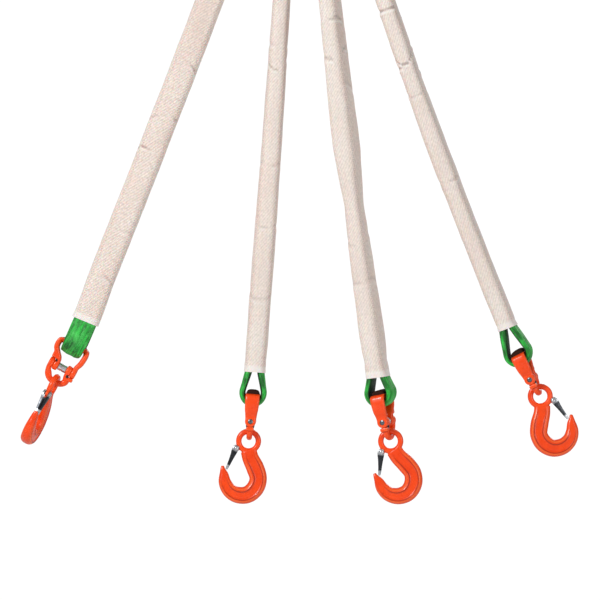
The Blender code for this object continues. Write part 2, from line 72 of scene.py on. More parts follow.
# Couplings
PIN_RADIUS, PIN_HALF, PIN_HOLE = 4.5, 28.5, 5.0
LUG_RADIUS, LUG_ROOM = 10.0, 10.9
INNER_LUG, OUTER_LUG = (9.0, 18.2), (19.0, 28.2)
BUSH_RADIUS, BUSH_HALF = 7.2, 8.4
BOW_HALF_WIDTH, BOW_TOP, BOW_REACH, BOW_RADIUS, BOW_SIDE_SWELL = 18.5, 18.0, 31.0, 5.3, 1.3
WEB_REACH, WEB_HALF_WIDTH, WEB_ARM, WEB_LUG_ARM, SADDLE_DROP = 55.0, 33.0, 9.6, 8.8, 3.0
CROWN = (9.7, 1.28, 22.0, 51.0)  # the saddle's top: half height, depth against height, half length, middle

# Hook, from the centre of its eye
EYE_DROP, EYE_RADIUS, EYE_HALF = 7.35, 18.75, (5.25, 5.5)
BOSS_AT, BOSS_RADIUS, BOSS_HALF, BOSS_BORE = (-20.5, -17.0), 5.5, 2.6, 2.85
LATCH_LEAN, LATCH_LENGTH, LATCH_HOLE, RIVET_RADIUS = -16.5, 44.5, 3.0, 2.5
HOOK_BODY = (  # centre x, centre z, width in the hook's plane, thickness, depth of the panel in each side
    (3.0, -18.0, 30.0, 12.5, 0.0),
    (9.0, -31.0, 31.5, 17.5, 1.2),
    (21.0, -48.5, 34.0, 22.0, 2.8),
    (30.0, -68.0, 33.0, 25.0, 3.4),
    (28.0, -84.5, 34.0, 27.0, 3.4),
    (14.5, -101.0, 33.0, 28.0, 3.2),
    (-6.0, -104.5, 31.0, 27.5, 3.0),
    (-22.5, -97.0, 27.5, 24.0, 2.2),
    (-31.5, -85.0, 24.0, 20.0, 1.0),
    (-36.7, -68.5, 16.0, 14.0, 0.0),
    (-39.9, -60.5, 9.0, 11.0, 0.0),
    (-41.4, -54.5, 5.0, 7.0, 0.0),
)

# Roundsling and sleeve
BIGHT_RADIUS, STRAP_HALF_WIDTH, BIGHT_HALF_WIDTH = 21.2, 22.6, 20.5
STRAP_HALF_THICK, BIGHT_HALF_THICK = 7.0, 5.8
STRAND_OFFSET, STRANDS_MEET, TWIST_SHARE, END_REACH = 7.3, 60.0, 0.28, 130.0
SLEEVE_HALF_WIDTH, SLEEVE_WALL, SLEEVE_PLAY, SLEEVE_TOP_GAP = 27.0, 1.5, 1.3, 45.0
HEM = 13.0
FIRST_SEED, SEED_STEP = 1.7, 2.9

# Links
MASTER_INSIDE, MASTER_BAR = (75.0, 135.0), 18.0
SUB_INSIDE, SUB_BAR, LINK_PLAY = (40.0, 62.0), 13.0, 1.6

# Each leg: which way its upper bar points, which way round its lower coupling sits, how far above the lower
# eye its sleeve ends, its bulge to -X, its visible width against the plain width at shares of its length,
# and its creases: share, depth, slant, spread
LEGS = {
    "leg_1": dict(side=-1, about=1, bare=43.0, bulge=-4.0,
                  widths=((0.0, 1.0), (0.33, 0.97), (0.6, 0.98), (1.0, 0.97)),
                  creases=((0.455, 1.8, 0.25, 5.0), (0.56, 1.2, -0.2, 6.0), (0.63, 2.2, 0.3, 4.0),
                           (0.78, 0.8, -0.1, 8.0), (0.87, 1.0, 0.2, 6.0))),
    "leg_2": dict(side=1, about=-1, bare=39.0, bulge=-2.0,
                  widths=((0.0, 1.0), (0.297, 0.94), (0.41, 1.02), (0.565, 1.11), (0.655, 1.15),
                          (0.744, 1.2), (0.9, 1.18), (0.944, 1.12), (0.963, 0.94), (1.0, 0.95)),
                  creases=((0.38, 1.6, 0.4, 5.0), (0.405, 1.6, -0.3, 5.0), (0.59, 1.0, 0.2, 6.0),
                           (0.70, 1.6, 0.15, 5.0), (0.82, 0.8, -0.2, 7.0))),
    "leg_3": dict(side=-1, about=-1, bare=30.0, bulge=9.0,
                  widths=((0.0, 1.0), (0.3, 1.032), (0.41, 1.129), (0.49, 1.215), (0.565, 1.258),
                          (0.6, 1.129), (0.63, 1.032), (0.664, 0.903), (0.708, 0.989), (0.762, 1.075),
                          (0.816, 1.129), (0.896, 1.172), (0.923, 1.129), (0.95, 1.01), (0.971, 0.881),
                          (1.0, 1.021)),
                  creases=((0.34, 2.6, 0.5, 5.0), (0.39, 2.0, -0.3, 6.0), (0.455, 1.0, 0.5, 7.0),
                           (0.72, 1.5, -0.4, 6.0), (0.80, 0.9, 0.2, 8.0))),
    "leg_4": dict(side=1, about=-1, bare=50.0, bulge=14.0,
                  widths=((0.0, 1.0), (0.33, 0.984), (0.41, 1.029), (0.476, 0.962), (0.535, 1.035),
                          (0.58, 1.074), (0.65, 1.074), (0.7, 1.024), (0.76, 1.052), (0.93, 1.035),
                          (0.9525, 0.99), (1.0, 1.012)),
                  creases=((0.345, 3.0, 0.5, 4.0), (0.42, 2.6, -0.6, 4.0), (0.455, 2.6, 0.5, 4.0),
                           (0.50, 1.8, 0.1, 4.0), (0.67, 1.0, 0.3, 6.0))),
}

# Camera and stage
VIEW_CENTRE = (-0.0057, -1.1476)
VIEW_DISTANCE, VIEW_LENS = 8.0, 252.6
FLOOR_LEVEL, FLOOR_RADIUS = -1.95, 3.0
AMBIENT, BACKDROP = 0.34, 1.05


# ---------------------------------------------------------------- materials


class Shade:
    """A material with a Principled shader and short ways to add nodes to it."""

    def __init__(self, name, **constants):
        self.material = bpy.data.materials.new(name)
        self.material.use_nodes = True
        self.tree = self.material.node_tree
        self.shader = self.tree.nodes["Principled BSDF"]
        for socket, value in constants.items():
            self.shader.inputs[socket.replace("_", " ")].default_value = value

    def feed(self, socket, value):
        if isinstance(value, bpy.types.NodeSocket):
            self.tree.links.new(value, socket)
        else:
            socket.default_value = value

    def node(self, kind, inputs=(), **settings):
        made = self.tree.nodes.new("ShaderNode" + kind)
        for key, value in settings.items():
            setattr(made, key, value)
        for key, value in dict(inputs).items():
            self.feed(made.inputs[key], value)
        return made

    def attribute(self, name):
        return self.node("Attribute", attribute_name=name).outputs["Fac"]

    def math(self, operation, a, b=0.0):
        return self.node("Math", {0: a, 1: b}, operation=operation).outputs[0]

    def times(self, a, b):
        return self.math("MULTIPLY", a, b)

    def noise(self, vector, scale, detail=3.0, roughness=0.55):
        inputs = {"Vector": vector, "Scale": scale, "Detail": detail, "Roughness": roughness}
        return self.node("TexNoise", inputs).outputs["Fac"]

    def streaks(self, cloth, across, along, detail):
        """Noise on a cloth, with a scale of its own across and along."""
        return self.noise(self.stretched(cloth, (across, along, 1.0)), 1.0, detail)

    def spread(self, value, low, high, to_low=0.0, to_high=1.0):
        inputs = {0: value, 1: low, 2: high, 3: to_low, 4: to_high}
        return self.node("MapRange", inputs).outputs[0]

    def mix(self, share, a, b):
        made = self.node("Mix", data_type="RGBA")
        for index, value in ((0, share), (6, a), (7, b)):
            if isinstance(value, tuple):
                value = (*value, 1.0)
            self.feed(made.inputs[index], value)
        return made.outputs[2]

    def layer(self, colour, share, most, tone):
        """The colour with a tone over it, as strong as the share times the most it may cover."""
        return self.mix(self.times(share, most), colour, tone)

    def stretched(self, vector, scale):
        return self.node("Mapping", {"Vector": vector, "Scale": scale}).outputs[0]

    def bump(self, height, strength, distance, under=None):
        made = self.node("Bump", {"Height": height, "Strength": strength, "Distance": distance})
        if under is not None:
            self.tree.links.new(under, made.inputs["Normal"])
        return made.outputs[0]

    def set(self, **sockets):
        for name, value in sockets.items():
            self.feed(self.shader.inputs[name.replace("_", " ")], value)
        return self.material


def orange_coat(name, marks=(), dark_above=None):
    """Powder coat over a forging, with painted highlights on its convex edges and along a panel's rim, and
    painted shade in its hollows and along a panel's edge. Marks are small holes shown as near-black spots of
    painted shade at points of the piece's own frame, and dark_above is the height past which the coat is
    painted near black and matte as shade."""
    s = Shade(name, Specular_IOR_Level=0.3, Coat_Weight=0.2, Coat_Roughness=0.12)
    place = s.node("TexCoord").outputs["Object"]
    cloud = s.spread(s.noise(place, 28.0, 4.0), 0.3, 0.7)
    colour = s.mix(cloud, (0.84, 0.048, 0.002), (0.98, 0.076, 0.004))
    # Painted highlight: convex edges, found by pointiness, are lightened towards a bright orange glint.
    pointed = s.node("NewGeometry").outputs["Pointiness"]
    edge = s.spread(pointed, 0.505, 0.56)
    colour = s.layer(colour, edge, 0.5, (1.0, 0.19, 0.045))
    # Painted shade: concave hollows, found by pointiness, are darkened as if occluded.
    hollow_shade = s.spread(pointed, 0.495, 0.45)
    colour = s.layer(colour, hollow_shade, 0.75, (0.22, 0.010, 0.002))
    # Painted shade along the hook's panel edges where this attribute is positive, and a painted highlight
    # along the rim where it is negative.
    panel_shade_and_glint = s.attribute("panel_shade_and_glint")
    colour = s.layer(colour, panel_shade_and_glint, 0.8, (0.20, 0.009, 0.001))
    colour = s.mix(s.spread(panel_shade_and_glint, 0.0, -1.0, 0.0, 0.6), colour, (1.0, 0.22, 0.05))
    speck = s.spread(s.noise(place, 420.0, 2.0), 0.72, 0.78)
    colour = s.layer(colour, speck, 0.5, (0.30, 0.03, 0.01))
    wide = s.spread(s.noise(s.stretched(place, (1.0, 1.0, 0.4)), 85.0, 5.0), 0.62, 0.74)
    colour = s.layer(colour, wide, 0.28, (0.45, 0.035, 0.008))
    # Painted shade: each mark is a near-black spot standing for the shadowed inside of a small hole.
    for mark in marks:
        apart = s.node("VectorMath", {0: place, 1: tuple(c * MM for c in mark)}, operation="DISTANCE")
        near = s.spread(apart.outputs["Value"], 0.0040, 0.0026)
        colour = s.mix(near, colour, (0.012, 0.010, 0.010))
    rough = s.spread(s.noise(place, 60.0, 3.0), 0.3, 0.7, 0.24, 0.38)
    # Painted shade: above dark_above the coat is painted near black and made matte, for the deep shade on the
    # saddle's top between the strands.
    if dark_above is not None:
        height = s.node("SeparateXYZ", {0: place}).outputs[2]
        ragged = s.math("ADD", height, s.times(s.noise(place, 300.0), 0.0012))
        top_shade = s.spread(ragged, dark_above * MM, (dark_above + 1.0) * MM)
        colour = s.layer(colour, top_shade, 0.97, (0.008, 0.012, 0.010))
        s.set(Coat_Weight=s.spread(top_shade, 0.0, 0.4, 0.2, 0.0),
              Specular_IOR_Level=s.spread(top_shade, 0.0, 1.0, 0.3, 0.05))
        rough = s.math("ADD", rough, s.times(top_shade, 0.5))
    peel = s.bump(s.noise(place, 620.0, 2.0), 0.22, 0.0002)
    forged = s.bump(s.noise(place, 110.0, 3.0), 0.35, 0.0007, peel)
    return s.set(Base_Color=colour, Roughness=rough, Normal=forged)


def zinc(name, dark=0.0, slot=None, dark_reflection_span=None):
    """Zinc plate over steel. A slot is a near-black patch of painted shade for a pressed slot's dark inside:
    its middle height, half height and half width.
    Between the two heights of dull the plate is painted near black, a painted dark reflection."""
    s = Shade(name, Metallic=1.0)
    place = s.node("TexCoord").outputs["Object"]
    cloud = s.spread(s.noise(place, 90.0, 4.0), 0.3, 0.7)
    light = (0.80 - dark, 0.81 - dark, 0.82 - dark)
    deep = (0.42 - dark / 2, 0.44 - dark / 2, 0.47 - dark / 2)
    colour = s.mix(cloud, deep, light)
    split = s.node("SeparateXYZ", {0: place})
    # Painted reflection: between two heights the plate is painted near black, as a dark reflection.
    if dark_reflection_span is not None:
        low, high = dark_reflection_span
        under = s.spread(split.outputs[2], high * MM, (high - 3.0) * MM)
        over = s.spread(split.outputs[2], low * MM, (low + 2.0) * MM)
        colour = s.layer(colour, s.times(under, over), 0.95, (0.024, 0.027, 0.032))
    # Painted shade: a near-black patch where a slot's shadowed inside would show; the latch has no slot cut
    # here.
    if slot is not None:
        middle, half_height, half_width = slot
        up = s.math("ABSOLUTE", s.math("ADD", split.outputs[2], -middle * MM))
        beside = s.math("ABSOLUTE", split.outputs[1])
        slot_shade = s.times(s.spread(up, half_height * MM, (half_height - 0.8) * MM),
                        s.spread(beside, half_width * MM, (half_width - 0.5) * MM))
        colour = s.mix(slot_shade, colour, (0.015, 0.015, 0.017))
    brushed = s.noise(s.stretched(place, (1.0, 1.0, 0.06)), 1900.0, 2.0)
    rough = s.spread(s.noise(place, 240.0, 3.0), 0.3, 0.7, 0.22, 0.44)
    return s.set(Base_Color=colour, Roughness=rough, Normal=s.bump(brushed, 0.25, 0.0001))


def weave(s):
    """The place on the cloth in metres: as a vector, across and along."""
    cloth = s.node("UVMap", uv_map="weave").outputs[0]
    split = s.node("SeparateXYZ", {0: cloth})
    return cloth, split.outputs[0], split.outputs[1]


def ribs(s, value, period):
    """A wave from 0 to 1 with this period in metres."""
    return s.spread(s.math("SINE", s.times(value, 2 * math.pi / period)), -1.0, 1.0)


def green_polyester(name):
    s = Shade(name, Sheen_Weight=0.08, Sheen_Roughness=0.4, Specular_IOR_Level=0.45)
    s.shader.inputs["Sheen Tint"].default_value = (0.55, 1.0, 0.6, 1.0)
    cloth, across, along = weave(s)
    inside = s.attribute("inside")
    # Partly the cloth's uneven tone and partly painted shade and highlight: lengthwise streaks from near
    # black to bright green stand in for lit and shaded folds.
    tone_and_fold_light = s.spread(s.streaks(cloth, 210.0, 32.0, 4.0), 0.36, 0.64)
    colour = s.mix(tone_and_fold_light, (0.0010, 0.085, 0.008), (0.016, 0.56, 0.050))
    # Painted highlight: pale bright patches laid over the green.
    highlight_patch = s.spread(s.streaks(cloth, 55.0, 55.0, 5.0), 0.5, 0.8)
    colour = s.layer(colour, highlight_patch, 0.6, (0.11, 0.74, 0.14))
    # Painted shade: the inner faces of the loop, marked by the inside attribute, are painted near black.
    colour = s.mix(inside, colour, (0.001, 0.007, 0.003))
    warp, weft = ribs(s, across, 0.0011), ribs(s, along, 0.0013)
    threads = s.times(warp, weft)
    fine = s.bump(threads, 0.35, 0.0004)
    gathered = s.bump(s.streaks(cloth, 260.0, 22.0, 3.0), 0.9, 0.0022, fine)
    rough = s.spread(s.streaks(cloth, 90.0, 60.0, 2.0), 0.3, 0.7, 0.38, 0.56)
    return s.set(Base_Color=colour, Roughness=rough, Normal=gathered)


def sleeve_cloth(name):
    s = Shade(name, Sheen_Weight=0.3, Sheen_Roughness=0.5, Specular_IOR_Level=0.12, Subsurface_Weight=0.25,
              Subsurface_Scale=0.006)
    cloth, across, along = weave(s)
    fold = s.attribute("fold")
    hem = s.attribute("hem")
    wander = s.streaks(cloth, 60.0, 25.0, 2.0)
    slant = s.math("ADD", s.times(across, 0.8), s.times(along, 0.6))
    slant = s.math("ADD", slant, s.times(wander, 0.0016))
    twill = ribs(s, slant, 0.0046)
    weft = ribs(s, along, 0.0012)
    warp = ribs(s, across, 0.0010)
    cloud = s.spread(s.streaks(cloth, 22.0, 9.0, 4.0), 0.3, 0.7)
    colour = s.mix(cloud, (0.890, 0.715, 0.640), (0.985, 0.840, 0.770))
    colour = s.layer(colour, twill, 0.36, (0.52, 0.405, 0.355))
    grain = s.spread(s.streaks(cloth, 260.0, 190.0, 3.0), 0.40, 0.62)
    colour = s.layer(colour, grain, 0.34, (0.46, 0.345, 0.295))
    slub = s.spread(s.streaks(cloth, 700.0, 70.0, 2.0), 0.6, 0.75)
    colour = s.layer(colour, slub, 0.25, (0.90, 0.82, 0.78))
    # Painted highlight: a lighter strip along the folded edges, where a lit side face would catch light.
    edge_highlight = s.spread(fold, 0.35, 0.9)
    colour = s.layer(colour, edge_highlight, 0.2, (0.91, 0.84, 0.80))
    stitch = s.times(s.spread(fold, 0.16, 0.20), s.spread(fold, 0.30, 0.26))
    stitch = s.times(stitch, s.spread(ribs(s, along, 0.0042), 0.4, 0.6))
    colour = s.layer(colour, stitch, 0.5, (0.52, 0.40, 0.36))
    colour = s.layer(colour, hem, 0.7, (0.92, 0.83, 0.80))
    # Painted shade and highlight: each crease is darkened along its line and lightened just beside it.
    bend = s.attribute("bend")
    colour = s.mix(s.spread(bend, 0.1, 1.6, 0.0, 0.6), colour, (0.27, 0.205, 0.18))
    colour = s.mix(s.spread(bend, -0.1, -0.9, 0.0, 0.6), colour, (0.97, 0.90, 0.86))
    height = s.math("ADD", s.times(twill, 0.7), s.times(s.times(weft, warp), 0.3))
    fine = s.bump(height, 0.5, 0.0006)
    loose = s.bump(s.streaks(cloth, 75.0, 30.0, 3.0), 0.4, 0.002, fine)
    return s.set(Base_Color=colour, Roughness=s.spread(twill, 0.0, 1.0, 0.82, 0.95), Normal=loose)


# ---------------------------------------------------------------- meshes, in millimetres


def skin(name, rings, loop=False, uv=None, floats=()):
    """A mesh through rings of points, closed along its length if it is a loop, or else with two end faces.

    uv is (across, along): a row of distances for each ring with one more than its points, and a distance for
    each ring, with one more than the rings in a loop. floats are (name, value for each point of each ring).
    """
    rings = np.asarray(rings, float)
    rows, count = rings.shape[:2]
    spans = rows if loop else rows - 1
    faces, corners = [], []
    for i in range(spans):
        here, there = i * count, (i + 1) % rows * count
        for j in range(count):
            k = (j + 1) % count
            faces.append((here + j, here + k, there + k, there + j))
            if uv is not None:
                across, along = uv
                after = (i + 1) % rows
                corners += [(across[i][j], along[i]), (across[i][j + 1], along[i]),
                            (across[after][j + 1], along[i + 1]), (across[after][j], along[i + 1])]
    if not loop:
        faces += [tuple(range(count))[::-1], tuple((rows - 1) * count + j for j in range(count))]
        corners += [(0.0, 0.0)] * (2 * count)
    mesh = bpy.data.meshes.new(name)
    mesh.from_pydata(rings.reshape(-1, 3).tolist(), [], faces)
    if uv is not None:
        mesh.uv_layers.new(name="weave").data.foreach_set("uv", np.array(corners, np.float32).ravel() * MM)
    for attribute, values in floats:
        made = mesh.attributes.new(attribute, "FLOAT", "POINT")
        made.data.foreach_set("value", np.asarray(values, np.float32).ravel())
    return outwards(mesh)


def outwards(mesh):
    """The mesh with all its faces turned outwards."""
    made = bmesh.new()
    made.from_mesh(mesh)
    bmesh.ops.recalc_face_normals(made, faces=made.faces)
    if made.calc_volume(signed=True) < 0:
        bmesh.ops.reverse_faces(made, faces=made.faces)
    made.to_mesh(mesh)
    made.free()
    return mesh


def oval(half_u, half_v, count, power=2.0):
    """Points round an ellipse, or with a higher power round a form between it and its box."""
    out = []
    for i in range(count):
        turn = 2 * math.pi * i / count
        c, s = math.cos(turn), math.sin(turn)
        out.append((half_u * math.copysign(abs(c) ** (2 / power), c),
                    half_v * math.copysign(abs(s) ** (2 / power), s)))
    return out


def both_ways(half):
    """A profile on both sides of 0, from its half on the plus side, outermost point first."""
    return [(-at, radius) for at, radius in half] + half[::-1]


def turned(name, profile, axis="X", centre=(0.0, 0.0), count=32, loop=False):
    """A turned piece along X or Y from (distance, radius) points."""
    rings = []
    for at, radius in profile:
        if axis == "X":
            rings.append([(at, centre[0] + u, centre[1] + v) for u, v in oval(radius, radius, count)])
        else:
            rings.append([(centre[0] + u, at, centre[1] + v) for u, v in oval(radius, radius, count)])
    return skin(name, rings, loop)


def smooth_run(stations, count):
    """Rows of numbers read off a smooth line through the stations, whose first two are places."""
    p = np.array(stations, float)
    t = np.concatenate([[0.0], np.cumsum(np.linalg.norm(np.diff(p[:, :2], axis=0), axis=1))])
    slope = np.gradient(p, t, axis=0)
    out = []
    for at in np.linspace(0.0, t[-1], count):
        i = min(int(np.searchsorted(t, at, side="right")) - 1, len(t) - 2)
        h = t[i + 1] - t[i]
        u = (at - t[i]) / h
        out.append(p[i] * (1 + 2 * u) * (1 - u) ** 2 + slope[i] * h * u * (1 - u) ** 2
                   + p[i + 1] * u * u * (3 - 2 * u) - slope[i + 1] * h * u * u * (1 - u))
    return np.array(out)


def plane_run(name, line, sections):
    """A bar along (x, z) points. Each section holds (u, v) points: u along Y, v to the line's left."""
    line = np.asarray(line, float)
    along = np.gradient(line, axis=0)
    along /= np.linalg.norm(along, axis=1)[:, None]
    rings = []
    for (x, z), (dx, dz), section in zip(line, along, sections):
        rings.append([(x - dz * v, u, z + dx * v) for u, v in section])
    return skin(name, rings)


def evaluated(obj):
    """The mesh that an object's modifiers leave. The object is removed."""
    graph = bpy.context.evaluated_depsgraph_get()
    graph.update()
    mesh = bpy.data.meshes.new_from_object(obj.evaluated_get(graph))
    bpy.data.objects.remove(obj, do_unlink=True)
    return mesh


def placed(data, name=None):
    """A new object in the scene, called what its data is called if it has no name of its own."""
    obj = bpy.data.objects.new(name or data.name, data)
    bpy.context.scene.collection.objects.link(obj)
    return obj


def cut_by(body, cuts):
    """The final mesh of an object, with the cuts taken out of it."""
    cutters = [placed(cut) for cut in cuts]
    for cutter in cutters:
        hole = body.modifiers.new("hole", "BOOLEAN")
        hole.operation = "DIFFERENCE"
        hole.object = cutter
    mesh = evaluated(body)
    for cutter in cutters:
        bpy.data.objects.remove(cutter, do_unlink=True)
    return mesh


def forging(name, parts, cuts, voxel=1.1, rounds=6, regain=0.35):
    """The parts melted into one body with soft fillets, with sharp holes cut through it.

    Softening draws thin bars in, so the skin is then pushed back out by regain.
    """
    made = bmesh.new()
    for part in parts:
        made.from_mesh(part)
    joined = bpy.data.meshes.new(name)
    made.to_mesh(joined)
    made.free()
    body = placed(joined)
    melt = body.modifiers.new("melt", "REMESH")
    melt.mode = "VOXEL"
    melt.voxel_size = voxel
    soften = body.modifiers.new("soften", "SMOOTH")
    soften.factor = 0.5
    soften.iterations = rounds
    swell = body.modifiers.new("swell", "DISPLACE")
    swell.strength = regain
    swell.mid_level = 0.0
    mesh = cut_by(body, cuts)
    mesh.name = name
    return mesh


def oblong_link(name, inside, bar, plane):
    """A round bar bent to an oblong with its inner top at the origin and the slight swelling of its weld."""
    half = (inside[0] + bar) / 2
    straight = inside[1] - inside[0]
    top, foot = -inside[0] / 2, -inside[0] / 2 - straight
    line = [(half * math.cos(a), top + half * math.sin(a)) for a in np.linspace(0, math.pi, 40)]
    line += [(-half, top + (foot - top) * t) for t in np.linspace(0, 1, 26)[1:-1]]
    line += [(-half * math.cos(a), foot - half * math.sin(a)) for a in np.linspace(0, math.pi, 40)]
    line += [(half, foot + (top - foot) * t) for t in np.linspace(0, 1, 26)[1:-1]]
    rings = []
    for i, (x, z) in enumerate(line):
        before, after = Vector(line[i - 1]), Vector(line[(i + 1) % len(line)])
        along = (after - before).normalized()
        out = Vector((along.y, -along.x))
        weld = math.exp(-((z - (top + foot) / 2) / 2.6) ** 2) if x > 0 else 0.0
        radius = bar / 2 + 0.35 * weld + 0.08 * noise.noise(Vector((x, z, 3.0)) * 0.09)
        ring = []
        for u, v in oval(radius, radius, 28):
            across, height = x + out.x * u, z + out.y * u
            ring.append((across, v, height) if plane == "XZ" else (v, across, height))
        rings.append(ring)
    return skin(name, rings, loop=True)


def lug(start, end):
    """A lug's disc with its edges rounded."""
    edge = 1.4
    return turned("lug", [(start, LUG_RADIUS - edge), (start + edge * 0.4, LUG_RADIUS - edge * 0.3),
                          (start + edge, LUG_RADIUS + 0.25), (end - edge, LUG_RADIUS + 0.25),
                          (end - edge * 0.4, LUG_RADIUS - edge * 0.3), (end, LUG_RADIUS - edge)])


def pin_hole():
    return turned("pin_hole", [(-40.0, PIN_HOLE), (40.0, PIN_HOLE)], count=40)


def shoulder(near, far, level, reach, half_depth):
    """The solid that carries an arm out past the other half's lug, from a level to a reach at each end."""
    rings = []
    for x, end in zip((near, far), reach):
        middle, half = (level + end) / 2, abs(end - level) / 2
        rings.append([(x, u, middle + v) for u, v in oval(half_depth, half, 24, 6.0)])
    return skin("shoulder", rings)


def chain_half():
    """The narrow half: two lugs on the pin and a bow below them."""
    inner, outer = sum(INNER_LUG) / 2, sum(OUTER_LUG) / 2
    lug_half = (OUTER_LUG[1] - OUTER_LUG[0]) / 2
    depth = BOW_REACH - BOW_TOP
    stations = [(-outer, 2.0, 9.4, lug_half), (-outer, -11.2, 7.6, lug_half)]
    for degrees in range(15, 166, 15):
        a = math.radians(degrees)
        flank = 1 - math.sin(a)
        stations.append((-BOW_HALF_WIDTH * math.cos(a) - 1.2 * flank, -BOW_TOP - depth * math.sin(a),
                         BOW_RADIUS - 0.1, BOW_RADIUS + BOW_SIDE_SWELL * flank))
    stations += [(inner, -11.2, 7.6, lug_half), (inner, 2.0, 9.4, lug_half)]
    rows = smooth_run(stations, 70)
    bow = plane_run("bow", rows[:, :2], [oval(u, v, 24, 2.2) for _, _, u, v in rows])
    lugs = [lug(-OUTER_LUG[1], -OUTER_LUG[0]), lug(*INNER_LUG)]
    arm = shoulder(inner, outer + lug_half, -LUG_ROOM, (-BOW_TOP + 0.8, -BOW_TOP + 0.8), 7.2)
    return forging("chain_half", [bow, arm] + lugs, [pin_hole()])


def web_section(half_depth, thick, round_share):
    """Half round under its flat outer face where round_share is 1, and a flat bar where it is 0."""
    def mix(flat, rounded):
        return flat + (rounded - flat) * round_share

    corners = [(0.0, -0.02), (0.62, -0.02), (0.88, 0.03), (1.0, mix(0.24, 0.16)),
               (mix(0.98, 0.90), mix(0.62, 0.48)), (mix(0.84, 0.66), mix(0.94, 0.82)),
               (mix(0.45, 0.33), mix(1.0, 0.97)), (0.0, 1.0)]
    right = [(half_depth * u, -thick * v) for u, v in corners]
    return right + [(-u, v) for u, v in right[-2:0:-1]]


def web_half():
    """The wide half: two lugs on the pin, two arms and a saddle above, which the roundsling lies on."""
    wide, top = WEB_HALF_WIDTH, WEB_REACH - SADDLE_DROP
    skin_out, skin_in = OUTER_LUG[1] - 0.2, INNER_LUG[1] - 0.2
    stations = [  # x and z of the outer face, half depth, thickness, roundness
        (skin_out - 0.3, -3.0, 9.2, WEB_LUG_ARM, 0.0),
        (skin_out, 11.2, 11.0, WEB_LUG_ARM, 0.0),
        (wide - 1.6, 19.0, 12.2, WEB_ARM, 0.0),
        (wide, 28.0, 12.9, WEB_ARM, 0.0),
        (wide, top - 9.0, 13.4, WEB_ARM, 0.1),
        (wide - 2.0, top - 3.0, 13.6, WEB_ARM, 0.3),
        (wide - 7.5, top, 13.6, 9.2, 0.9),
        (0.0, top + 0.2, 13.4, 9.2, 1.0),
        (7.5 - wide, top, 13.6, 9.2, 0.9),
        (2.0 - wide, top - 3.0, 13.6, WEB_ARM, 0.3),
        (-wide, top - 9.0, 13.4, WEB_ARM, 0.1),
        (-wide + 0.4, 30.0, 12.9, WEB_ARM, 0.0),
        (-26.0, 20.0, 12.0, WEB_ARM, 0.0),
        (-skin_in, 11.2, 11.0, WEB_LUG_ARM, 0.0),
        (-skin_in + 0.3, -3.0, 9.2, WEB_LUG_ARM, 0.0),
    ][::-1]
    rows = smooth_run(stations, 96)
    bail = plane_run("bail", rows[:, :2], [web_section(*row[2:]) for row in rows])
    tall, deeper, half, height = CROWN
    profile = both_ways([(half, tall - 3.0), (half - 1.5, tall - 0.8), (half - 4.0, tall)])
    crown = skin("crown", [[(x, u, height + v) for u, v in oval(r * deeper, r, 36, 3.0)] for x, r in profile])
    lugs = [lug(-INNER_LUG[1], -INNER_LUG[0]), lug(*OUTER_LUG)]
    arm = shoulder(-sum(INNER_LUG) / 2, -skin_out, LUG_ROOM, (20.0, 26.0), 10.6)
    return forging("web_half", [bail, crown, arm] + lugs, [pin_hole()])


def grooved(mesh, rows):
    """Marks a line of painted shade round the panel in each side of the hook, and a painted highlight along
    its rim as a negative.
    """
    points = np.empty(3 * len(mesh.vertices), np.float32)
    mesh.vertices.foreach_get("co", points)
    points = points.reshape(-1, 3)
    along = np.gradient(rows[:, :2], axis=0)
    along /= np.linalg.norm(along, axis=1)[:, None]
    flat = points[:, (0, 2)]
    near = np.argmin(np.linalg.norm(flat[:, None] - rows[None, :, :2], axis=2), axis=1)
    apart = flat - rows[near, :2]
    aside = apart[:, 1] * along[near, 0] - apart[:, 0] * along[near, 1]
    width, thick, flute = rows[near, 2], rows[near, 3], rows[near, 4]
    edge = np.abs(aside - 0.03 * width) - 0.25 * width
    on_side = np.abs(points[:, 1]) > 0.2 * thick
    rim = np.abs(aside) - 0.37 * width
    values = np.exp(-(edge / 1.1) ** 2) - 0.9 * np.exp(-(rim / 1.5) ** 2)
    values *= on_side * np.clip(flute / 2.4, 0.0, 1.0)
    mesh.attributes.new("panel_shade_and_glint", "FLOAT", "POINT").data.foreach_set("value", values.astype(np.float32))
    return mesh


def hook():
    """An eye, a body that sweeps round to the tip, and a boss for the latch, in one forging."""
    rings, steps = [], 56
    for i in range(steps):
        turn = 2 * math.pi * i / steps
        rings.append([((EYE_RADIUS + u) * math.cos(turn), v, (EYE_RADIUS + u) * math.sin(turn) - EYE_DROP)
                      for u, v in oval(*EYE_HALF, 20, 2.2)])
    eye = skin("eye", rings, loop=True)
    rows = smooth_run([(x, z - EYE_DROP, *rest) for x, z, *rest in HOOK_BODY], 84)
    sections = []
    for _, _, width, thick, flute in rows:
        section = []
        for u, v in oval(thick / 2, width / 2, 48, 2.5):
            panel = 1 / (1 + math.exp((abs(v - 0.03 * width) - 0.21 * width) / 0.35))
            section.append((u - math.copysign(min(flute * panel, 0.5 * abs(u)), u), v))
        sections.append(section)
    body = plane_run("body", rows[:, :2], sections)
    centre = (BOSS_AT[0], BOSS_AT[1] - EYE_DROP)
    profile = both_ways([(BOSS_HALF + 0.3, BOSS_RADIUS - 0.5), (BOSS_HALF - 0.2, BOSS_RADIUS + 0.3)])
    boss = turned("boss", profile, "Y", centre)
    bore = turned("bore", [(-20.0, BOSS_BORE), (20.0, BOSS_BORE)], "Y", centre)
    return grooved(forging("hook", [eye, body, boss], [bore], voxel=0.8, rounds=5, regain=0.15), rows)


